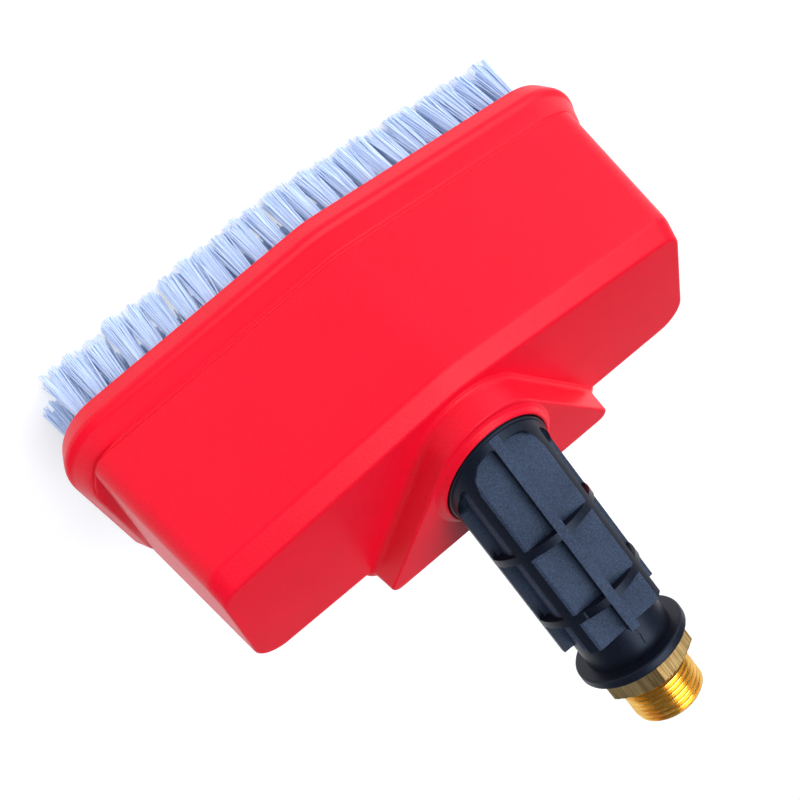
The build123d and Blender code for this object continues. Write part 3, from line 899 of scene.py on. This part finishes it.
def tuft_xs(row):
    """Places of a row's tufts along the brush, staggered from row to row."""
    count = tufts_per_row + row % 2 - (1 if row == 0 else 0)
    return [(i - (count - 1) / 2) * tuft_pitch for i in range(count)]


def filament(points, faces, root, tip, bow, radius, turn):
    """Four-sided filament from root to tip with a slight bow, added to a mesh's lists."""
    base = len(points)
    shares = (0.0, 0.35, 0.7, 1.0)
    for t in shares:
        middle = root.lerp(tip, t) + bow * (4 * t * (1 - t))
        size = radius * (1 - filament_taper * t)
        for k in range(4):
            a = turn + k * math.pi / 2
            points.append(middle + Vector((math.cos(a), math.sin(a), 0)) * size)
    for ring in range(len(shares) - 1):
        for k in range(4):
            low, high = base + ring * 4, base + (ring + 1) * 4
            faces.append((low + k, high + k, high + (k + 1) % 4, low + (k + 1) % 4))
    top = base + (len(shares) - 1) * 4
    faces.append((base + 0, base + 1, base + 2, base + 3))
    faces.append((top + 3, top + 2, top + 1, top + 0))


def heart(points, faces, root, tip, radius, widen):
    """Packed middle of a tuft: an eight-sided taper that keeps the light from showing through."""
    base, sides = len(points), 8
    for t in (0.0, 0.5, 1.0):
        middle = root.lerp(tip, t)
        size = radius * (1 + (widen - 1) * t)
        for k in range(sides):
            a = 2 * math.pi * k / sides
            points.append(middle + Vector((math.cos(a), math.sin(a) * heart_oval, 0)) * size)
    for ring in range(2):
        for k in range(sides):
            low, high = base + ring * sides, base + (ring + 1) * sides
            faces.append((low + k, high + k, high + (k + 1) % sides, low + (k + 1) % sides))
    faces.append(tuple(base + k for k in range(sides)))
    faces.append(tuple(base + 2 * sides + k for k in reversed(range(sides))))


def tuft_row(row):
    """One row of tufts: each is a bundle of filaments that fans out to ragged tips."""
    draw = random.Random(40 + row)
    points, faces = [], []
    xs = tuft_xs(row)
    edge_row = row in (0, row_count - 1)
    for x in xs:
        at_edge = edge_row or abs(x) > xs[-1] - end_tufts * tuft_pitch
        y = row_y(row, x)
        outer = (x / xs[-1]) ** end_power
        forward = front_lean if row == 0 else 0
        lean = Vector((draw.gauss(0, lean_along) + end_lean * outer, draw.gauss(0, lean_across) - forward, 0))
        shorter = abs(draw.gauss(0, short_size))
        twist = draw.uniform(0, math.pi)
        stem = Vector((x, y, block_z + root_cover))
        heart_end = Vector((x, y, heart_tip + shorter)) + lean * heart_lean
        heart(points, faces, stem, heart_end, heart_radius, heart_widening)
        for strand in range(edge_filaments if at_edge else inner_filaments):
            share = math.sqrt(draw.random()) if strand % 3 == 0 else draw.uniform(edge_share, 1.0)
            r = share * root_radius
            a = draw.uniform(0, 2 * math.pi)
            off = Vector((r * math.cos(a), r * math.sin(a), 0))
            wide = tip_spread * (1 + end_widening * abs(outer))
            fan = Vector((off.x * wide, off.y * wide * across_share, 0))
            stray = Vector((draw.gauss(0, stray_size), draw.gauss(0, stray_size), 0))
            if draw.random() < wild_share:
                stray *= wild_size
            top = lowest_tip + shorter + abs(draw.gauss(0, ragged_size)) + (r / root_radius) ** 2 * tip_dome
            root = stem + off
            tip = Vector((x, y, min(top, highest_tip))) + lean + fan + stray
            bow = Vector((draw.gauss(0, bow_size), draw.gauss(0, bow_size), 0)) - off * waist
            thickness = filament_radius * draw.uniform(thinnest, thickest)
            filament(points, faces, root, tip, bow, thickness, twist + a)
    name = f"bristles_row_{row + 1}"
    thing = piece(name, points, faces, [nylon], sharp=60.0, clean=False, normals=False)
    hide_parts(f"tuft_row_{row + 1}")


def strip(row):
    """Backing strip that holds the row's tufts in its groove of the block."""
    half = tuft_xs(row)[-1] + strip_width / 2
    side = strip_width / 2
    outline = [(0, -side), (half, -side), (half, side), (0, side), (-half, side), (-half, -side)]
    corners = [(x, row_y(row, x) + dy) for x, dy in outline]
    points = [Vector((x, y, z)) for z in (block_z, block_z + strip_depth) for x, y in corners]
    faces = [(0, 3, 2, 1), (0, 5, 4, 3), (6, 7, 8, 9), (6, 9, 10, 11)]
    faces += [(i, (i + 1) % 6, 6 + (i + 1) % 6, 6 + i) for i in range(6)]
    piece(f"strip_row_{row + 1}", points, faces, [block_pale], normals=False)


for row_number in range(row_count):
    tuft_row(row_number)
    strip(row_number)

# ------------------------------------------------------------------ CAD nodes that stay, with their materials
kept_nodes = {
    "brush_block": block_pale,
    "block_seal": rubber,
    "block_screws": steel,
    "adapter_gasket": rubber,
    "adapter_screws": steel,
    "spigot_seal": rubber,
    "spray_nozzle": thread_brass,
    "fitting_seal": rubber,
}
for node_name, material in kept_nodes.items():
    node = frame["nodes"][node_name]
    node.data.materials.clear()
    node.data.materials.append(material)

# ------------------------------------------------------------------ floor, light and camera
def floor():
    """Plain pale floor, wide enough to fill the picture."""
    mesh = bpy.data.meshes.new("floor")
    half, grey, glow = 6.0, 0.62, 0.54
    corners = [(-half, -half, 0), (half, -half, 0), (half, half, 0), (-half, half, 0)]
    mesh.from_pydata(corners, [], [(0, 1, 2, 3)])
    material, tree, main = shader("floor_paper", 0.9, (grey, grey, grey), specular=0.1)
    main.inputs["Emission Color"].default_value = (1, 1, 1, 1)
    main.inputs["Emission Strength"].default_value = glow
    mesh.materials.append(material)
    thing = bpy.data.objects.new("floor", mesh)
    bpy.context.scene.collection.objects.link(thing)


def lamp(name, direction, distance, size, power, colour):
    """Square soft light that points at the part from a direction."""
    data = bpy.data.lights.new(name, "AREA")
    data.shape = "SQUARE"
    data.size = size
    data.energy = power
    data.color = colour
    thing = bpy.data.objects.new(name, data)
    bpy.context.scene.collection.objects.link(thing)
    part_middle = Vector((0, 0, 0.07))
    thing.location = part_middle + Vector(direction).normalized() * distance
    thing.rotation_euler = (part_middle - thing.location).to_track_quat("-Z", "Y").to_euler()


def sun(direction, strength, angle):
    """Broad soft light that reaches the whole floor alike, from a direction."""
    data = bpy.data.lights.new("overhead", "SUN")
    data.energy = strength
    data.angle = math.radians(angle)
    thing = bpy.data.objects.new("overhead", data)
    bpy.context.scene.collection.objects.link(thing)
    thing.rotation_euler = (-Vector(direction)).to_track_quat("-Z", "Y").to_euler()


def world():
    """Pale light all round: white where the floor meets it, dimmer overhead."""
    sky = bpy.data.worlds.new("studio")
    bpy.context.scene.world = sky
    sky.use_nodes = True
    tree = sky.node_tree
    source = add(tree, "ShaderNodeTexCoord")
    parts = add(tree, "ShaderNodeSeparateXYZ")
    tree.links.new(source.outputs["Generated"], parts.inputs["Vector"])
    white, dim = (1.0, 1.0, 1.0), (0.15, 0.18, 0.24)
    shade = ramp(tree, parts.outputs["Z"], (0.14, white), (0.30, dim))
    tree.links.new(shade, tree.nodes["Background"].inputs["Color"])


def camera():
    """The camera fitted to the photograph: its place from the roof's rear edge, and its three axes."""
    right = Vector((-0.7731, 0.2131, 0.5974))
    down = Vector((0.6149, 0.4833, 0.6232))
    ahead = Vector((-0.1559, 0.8491, -0.5047))
    place = Vector((42.0, rear_y - 216.8, roof_z + 88.0)) * MM
    sensor, focal_pixels, picture_pixels = 36.0, 762.0, 800.0
    data = bpy.data.cameras.new("camera")
    data.sensor_width = sensor
    data.lens = sensor * focal_pixels / picture_pixels
    data.clip_start = 0.01
    thing = bpy.data.objects.new("camera", data)
    bpy.context.scene.collection.objects.link(thing)
    axes = Matrix((right, -down, -ahead)).transposed()
    thing.matrix_world = Matrix.Translation(place) @ axes.to_4x4()
    bpy.context.scene.camera = thing


floor()
sun((-0.27, -0.47, 0.84), strength=2.6, angle=44)
lamp("key", (-0.78, -0.60, 0.24), distance=0.60, size=0.60, power=1.6, colour=(0.93, 0.96, 1.0))
world()
camera()
bpy.context.scene.view_settings.view_transform = "Standard"
